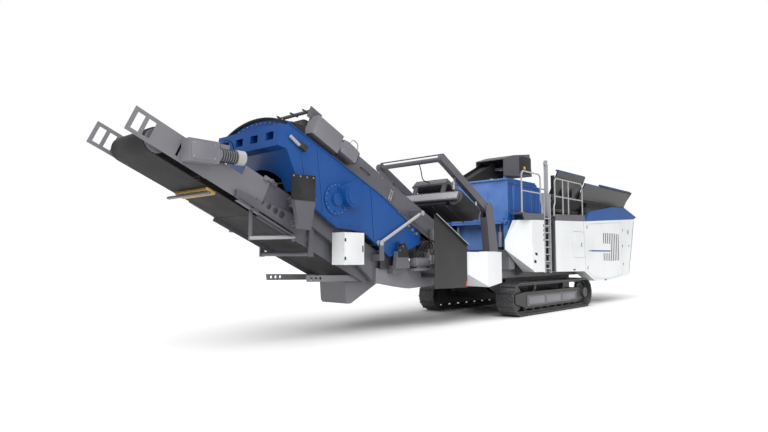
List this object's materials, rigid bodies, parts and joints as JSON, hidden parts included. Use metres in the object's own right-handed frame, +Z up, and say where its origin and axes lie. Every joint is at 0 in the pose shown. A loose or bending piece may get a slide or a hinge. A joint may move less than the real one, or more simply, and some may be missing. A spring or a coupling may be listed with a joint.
{
  "type": "tracked mobile crusher",
  "caption": "Self-propelled impact crusher on crawler tracks with a feed hopper, a screen, a magnet and folding discharge conveyors.",
  "frame": {"origin": "on the ground below the middle of the whole machine", "axes": "+X along the machine towards the feed hopper, +Y to the side with the return conveyor, +Z up"},
  "size_m": [18.56, 3, 4.99],
  "materials": {
    "blue_paint": "satin",
    "light_blue_paint": "satin",
    "white_paint": "satin",
    "grey_paint": "satin",
    "light_grey_paint": "satin",
    "anthracite_paint": "matt",
    "track_steel": "worn",
    "bare_steel": "satin",
    "wear_steel": "worn",
    "belt_rubber": "matt",
    "black_rubber": "matt",
    "engine_paint": "matt"
  },
  "bodies": {
    "base": {"track_near": "track_steel", "track_far": "track_steel", "crawler_frame_near": "anthracite_paint", "crawler_frame_far": "anthracite_paint", "track_rollers_near": "track_steel", "track_rollers_far": "track_steel", "undercarriage_beams": "anthracite_paint", "chassis_frame": "grey_paint", "side_housing_near": "white_paint", "side_housing_far": "white_paint", "cowl_strip_near": "blue_paint", "cowl_strip_far": "blue_paint", "engine_block": "engine_paint", "crusher_body": "blue_paint", "feeder_trough": "wear_steel", "hopper_frame": "anthracite_paint", "walkway": "grey_paint", "ladder": "light_grey_paint", "guard_rails": "light_grey_paint", "lamp_mast": "light_grey_paint", "discharge_conveyor_frame": "grey_paint", "discharge_conveyor_belt": "belt_rubber", "discharge_conveyor_drive": "anthracite_paint", "screen_box": "blue_paint", "screen_decks": "wear_steel", "screen_cap": "black_rubber", "screen_exciter": "blue_paint", "screen_frame": "grey_paint", "screen_springs": "black_rubber", "spring_covers": "black_rubber", "fines_conveyor_frame": "grey_paint", "fines_conveyor_belt": "belt_rubber", "magnet_posts": "grey_paint", "cross_conveyor_frame": "grey_paint", "cross_conveyor_belt": "belt_rubber", "control_box": "white_paint", "tank_cover": "white_paint", "side_guard": "anthracite_paint"},
    "fines_head": {"fines_head_frame": "grey_paint", "fines_head_belt": "belt_rubber", "fines_drive": "anthracite_paint"},
    "return_conveyor": {"return_conveyor_frame": "blue_paint", "return_conveyor_belt": "belt_rubber", "return_hood": "blue_paint"},
    "hood": {"crusher_hood": "blue_paint"},
    "rotor": {"crusher_rotor": "wear_steel"},
    "wall_near": {"hopper_wall_near": "anthracite_paint"},
    "wall_far": {"hopper_wall_far": "anthracite_paint"},
    "wall_rear": {"hopper_wall_rear": "anthracite_paint"},
    "small_door_near": {"service_door_near": "white_paint"},
    "small_door_far": {"service_door_far": "white_paint"},
    "large_door_near": {"engine_door_near": "white_paint"},
    "large_door_far": {"engine_door_far": "white_paint"},
    "cabinet_door": {"control_box_door": "white_paint"},
    "magnet": {"magnet_arms": "grey_paint", "magnet_body": "light_grey_paint", "magnet_belt": "belt_rubber"}
  },
  "joints": [
    {"name": "fines_head_fold", "type": "hinge", "parent": "base", "child": "fines_head", "pos_m": [-6.7639, 0, 2.8284], "axis": [0, 1, 0], "range_deg": [0, 52]},
    {"name": "return_conveyor_swing", "type": "hinge", "parent": "base", "child": "return_conveyor", "pos_m": [-2.9, 1.2, 1.28], "axis": [0, 0, 1], "range_deg": [0, 95]},
    {"name": "crusher_hood_open", "type": "hinge", "parent": "base", "child": "hood", "pos_m": [0.46, 0, 2.456], "axis": [0, -1, 0], "range_deg": [0, 40]},
    {"name": "rotor_spin", "type": "hinge", "parent": "base", "child": "rotor", "pos_m": [1.65, 0, 2.33], "axis": [0, 1, 0], "continuous": true},
    {"name": "hopper_wall_near_fold", "type": "hinge", "parent": "base", "child": "wall_near", "pos_m": [6.7, -1.225, 3.364], "axis": [-1, 0, 0], "range_deg": [0, 110]},
    {"name": "hopper_wall_far_fold", "type": "hinge", "parent": "base", "child": "wall_far", "pos_m": [6.7, 1.225, 3.364], "axis": [1, 0, 0], "range_deg": [0, 110]},
    {"name": "hopper_wall_rear_fold", "type": "hinge", "parent": "base", "child": "wall_rear", "pos_m": [8.79, 0, 3.332], "axis": [0, 1, 0], "range_deg": [0, 70]},
    {"name": "service_door_near_open", "type": "hinge", "parent": "base", "child": "small_door_near", "pos_m": [3.609, -1.49, 1.89], "axis": [0, 0, -1], "range_deg": [0, 105]},
    {"name": "service_door_far_open", "type": "hinge", "parent": "base", "child": "small_door_far", "pos_m": [3.609, 1.49, 1.89], "axis": [0, 0, 1], "range_deg": [0, 105]},
    {"name": "engine_door_near_open", "type": "hinge", "parent": "base", "child": "large_door_near", "pos_m": [7.681, -1.49, 1.77], "axis": [0, 0, 1], "range_deg": [0, 100]},
    {"name": "engine_door_far_open", "type": "hinge", "parent": "base", "child": "large_door_far", "pos_m": [7.681, 1.49, 1.77], "axis": [0, 0, -1], "range_deg": [0, 100]},
    {"name": "control_box_door_open", "type": "hinge", "parent": "base", "child": "cabinet_door", "pos_m": [-5.459, -1.1323, 1.68], "axis": [0, 0, -1], "range_deg": [0, 120]},
    {"name": "magnet_lift", "type": "hinge", "parent": "base", "child": "magnet", "pos_m": [-0.56, 0, 2.73], "axis": [0, 1, 0], "range_deg": [0, 12]}
  ]
}
